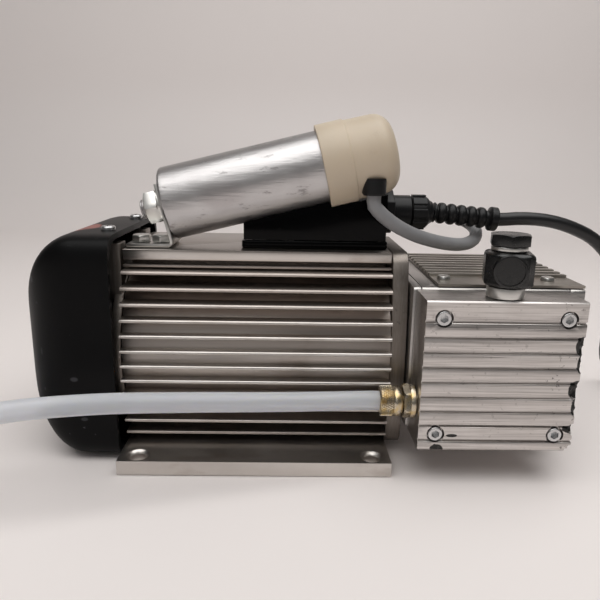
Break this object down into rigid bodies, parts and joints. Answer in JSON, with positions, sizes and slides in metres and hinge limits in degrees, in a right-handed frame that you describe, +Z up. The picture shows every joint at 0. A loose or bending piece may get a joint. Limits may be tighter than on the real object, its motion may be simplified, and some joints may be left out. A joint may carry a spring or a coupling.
{
  "type": "rotary vane vacuum pump",
  "caption": "Small oil-free rotary vane vacuum pump: a finned induction motor with a run capacitor drives a square vane head with a grooved filter box, hose fittings and a mains lead.",
  "frame": {"origin": "on the flat underside of the motor housing's base, straight under the shaft, halfway along the housing", "axes": "+X along the shaft from the fan to the pump head, +Y away from the filter box and the hose, +Z up"},
  "size_m": [0.5138, 0.1406, 0.1407],
  "materials": {
    "cast_aluminium": "extruded and lightly brushed",
    "machined_aluminium": "machined, satin",
    "can_aluminium": "drawn, scuffed",
    "steel": "ground",
    "zinc_plate": "zinc plated",
    "nickel_brass": "nickel plated",
    "laminations": "stacked sheet",
    "winding": "varnished",
    "carbon": "dry graphite",
    "black_plastic": "satin",
    "black_gloss": "gloss",
    "cream_plastic": "satin",
    "white_plastic": "satin",
    "grey_jacket": "smooth",
    "black_jacket": "smooth",
    "clear_hose": "cloudy, smooth",
    "felt": "felted",
    "rubber": "matte"
  },
  "bodies": {
    "pump": {"motor_housing": "cast_aluminium", "pump_end_flange": "cast_aluminium", "fan_end_shield": "cast_aluminium", "pump_inner_cover": "machined_aluminium", "pump_cylinder": "machined_aluminium", "pump_outer_cover": "machined_aluminium", "cooling_plate": "machined_aluminium", "filter_box": "machined_aluminium", "capacitor_can": "can_aluminium", "fan_end_bearing_outer_ring": "steel", "pump_end_bearing_outer_ring": "steel", "filter_screw_1": "steel", "filter_screw_2": "steel", "filter_screw_3": "steel", "filter_screw_4": "steel", "fan_cover_screw_1": "zinc_plate", "fan_cover_screw_2": "zinc_plate", "cooling_plate_screw_1": "zinc_plate", "cooling_plate_screw_2": "zinc_plate", "capacitor_strap": "zinc_plate", "capacitor_nut": "zinc_plate", "strap_screw_1": "zinc_plate", "strap_screw_2": "zinc_plate", "banjo_collar": "nickel_brass", "banjo_washer": "nickel_brass", "hose_fitting": "nickel_brass", "hose_nut": "nickel_brass", "stator_core": "laminations", "stator_winding": "winding", "fan_cover": "black_plastic", "banjo_body": "black_plastic", "banjo_bolt": "black_plastic", "mains_gland_body": "black_plastic", "mains_gland_nut": "black_plastic", "mains_bend_relief": "black_plastic", "lead_gland": "black_plastic", "mains_plug": "black_plastic", "terminal_box_base": "black_gloss", "terminal_box_lid": "black_gloss", "capacitor_cap": "cream_plastic", "terminal_block": "white_plastic", "capacitor_lead": "grey_jacket", "mains_cable": "black_jacket", "mains_cable_coil": "black_jacket", "suction_hose": "clear_hose", "suction_hose_coil": "clear_hose", "filter_element": "felt", "filter_gasket": "rubber", "shaft_seal": "rubber"},
    "shaft": {"motor_shaft": "steel", "rotor_core": "laminations", "fan_end_bearing_inner_ring": "steel", "pump_end_bearing_inner_ring": "steel", "cooling_fan": "black_plastic", "pump_rotor": "steel", "rotor_key": "steel"},
    "vane_1": {"vane_1": "carbon"},
    "vane_2": {"vane_2": "carbon"},
    "vane_3": {"vane_3": "carbon"},
    "vane_4": {"vane_4": "carbon"}
  },
  "joints": [
    {"name": "shaft_spin", "type": "hinge", "parent": "pump", "child": "shaft", "pos_m": [0, 0, 0.043], "axis": [1, 0, 0], "continuous": true},
    {"name": "vane_1_slide", "type": "slide", "parent": "shaft", "child": "vane_1", "axis": [0, -0.5, 0.866], "range_m": [0, 0.00035]},
    {"name": "vane_2_slide", "type": "slide", "parent": "shaft", "child": "vane_2", "axis": [0, 0.866, 0.5], "range_m": [-0.0042, 0]},
    {"name": "vane_3_slide", "type": "slide", "parent": "shaft", "child": "vane_3", "axis": [0, -0.5, 0.866], "range_m": [-0.00125, 0]},
    {"name": "vane_4_slide", "type": "slide", "parent": "shaft", "child": "vane_4", "axis": [0, 0.866, 0.5], "range_m": [0, 0.00125]}
  ]
}
